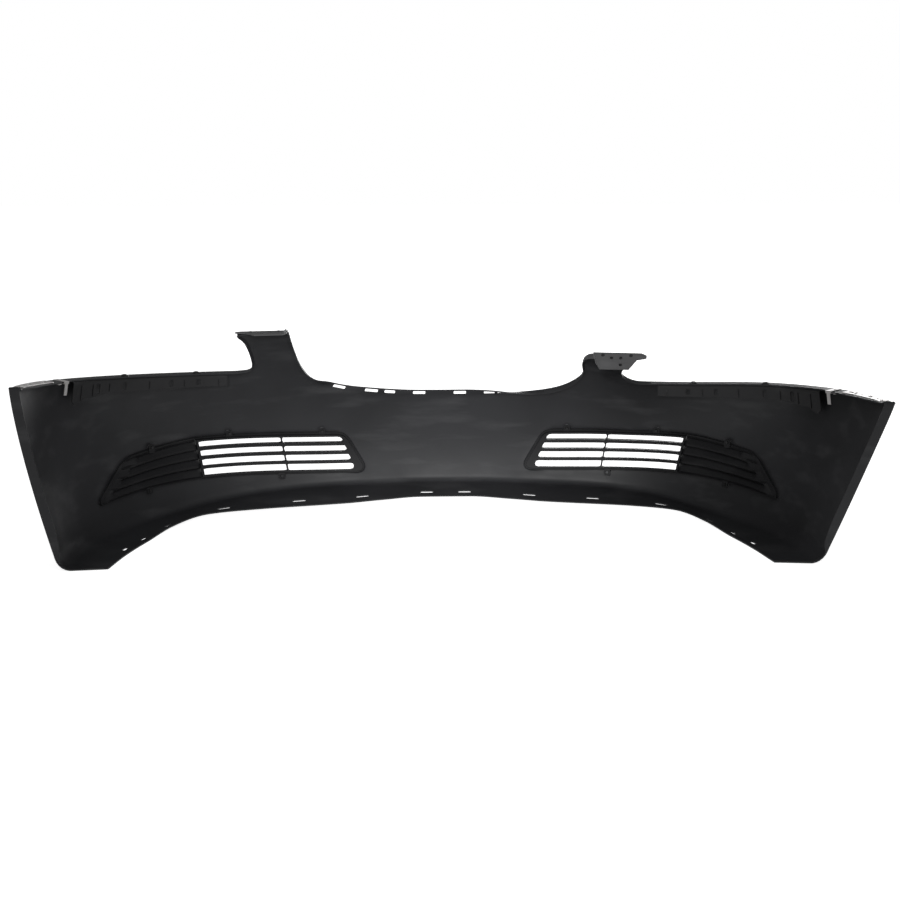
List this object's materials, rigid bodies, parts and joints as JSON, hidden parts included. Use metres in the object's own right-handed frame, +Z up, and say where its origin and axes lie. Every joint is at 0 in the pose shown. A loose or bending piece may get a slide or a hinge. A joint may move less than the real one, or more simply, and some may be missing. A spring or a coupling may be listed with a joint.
{
  "type": "bumper cover",
  "caption": "Front bumper cover of a large saloon: thin moulded skin with two horns, lower grilles, louvred blanks, edge brackets and push-in retainers.",
  "frame": {"origin": "middle of the cover's bounding box at floor level, standing on its two lower wing edges", "axes": "+X to the right across the cover seen from behind, +Y forward to the nose, +Z up"},
  "size_m": [1.8399, 0.7199, 0.4621],
  "materials": {
    "skin_plastic": "satin moulded",
    "grille_plastic": "fine grain",
    "bracket_plastic": "satin moulded",
    "plate_plastic": "satin moulded",
    "retainer_plastic": "satin moulded",
    "zinc_steel": "zinc plated"
  },
  "bodies": {
    "cover": {"skin": "skin_plastic", "lower_grille_left": "grille_plastic", "lower_grille_right": "grille_plastic", "fog_blank_left": "grille_plastic", "fog_blank_right": "grille_plastic", "grille_screws_left": "zinc_steel", "grille_screws_right": "zinc_steel", "blank_screws_left": "zinc_steel", "blank_screws_right": "zinc_steel", "headlamp_bracket_left": "bracket_plastic", "headlamp_bracket_right": "bracket_plastic", "retainer_body_left_inner": "retainer_plastic", "retainer_body_left_outer": "retainer_plastic", "retainer_body_right_inner": "retainer_plastic", "retainer_body_right_outer": "retainer_plastic", "horn_plate_left": "plate_plastic", "horn_plate_right": "plate_plastic", "horn_rivets_left": "zinc_steel", "horn_rivets_right": "zinc_steel", "wing_rail_left": "zinc_steel", "wing_rail_right": "zinc_steel", "rail_rivets_left": "zinc_steel", "rail_rivets_right": "zinc_steel", "corner_clip_left": "zinc_steel", "corner_clip_right": "zinc_steel"},
    "pin_left_inner": {"retainer_pin_left_inner": "retainer_plastic"},
    "pin_left_outer": {"retainer_pin_left_outer": "retainer_plastic"},
    "pin_right_inner": {"retainer_pin_right_inner": "retainer_plastic"},
    "pin_right_outer": {"retainer_pin_right_outer": "retainer_plastic"}
  },
  "joints": [
    {"name": "pin_left_inner_slide", "type": "slide", "parent": "cover", "child": "pin_left_inner", "axis": [0.0734, -0.0846, 0.9937], "range_m": [0, 0.008]},
    {"name": "pin_left_outer_slide", "type": "slide", "parent": "cover", "child": "pin_left_outer", "axis": [0.1234, -0.0365, 0.9917], "range_m": [0, 0.008]},
    {"name": "pin_right_inner_slide", "type": "slide", "parent": "cover", "child": "pin_right_inner", "axis": [-0.0945, -0.0781, 0.9925], "range_m": [0, 0.008]},
    {"name": "pin_right_outer_slide", "type": "slide", "parent": "cover", "child": "pin_right_outer", "axis": [-0.1235, -0.0375, 0.9916], "range_m": [0, 0.008]}
  ]
}
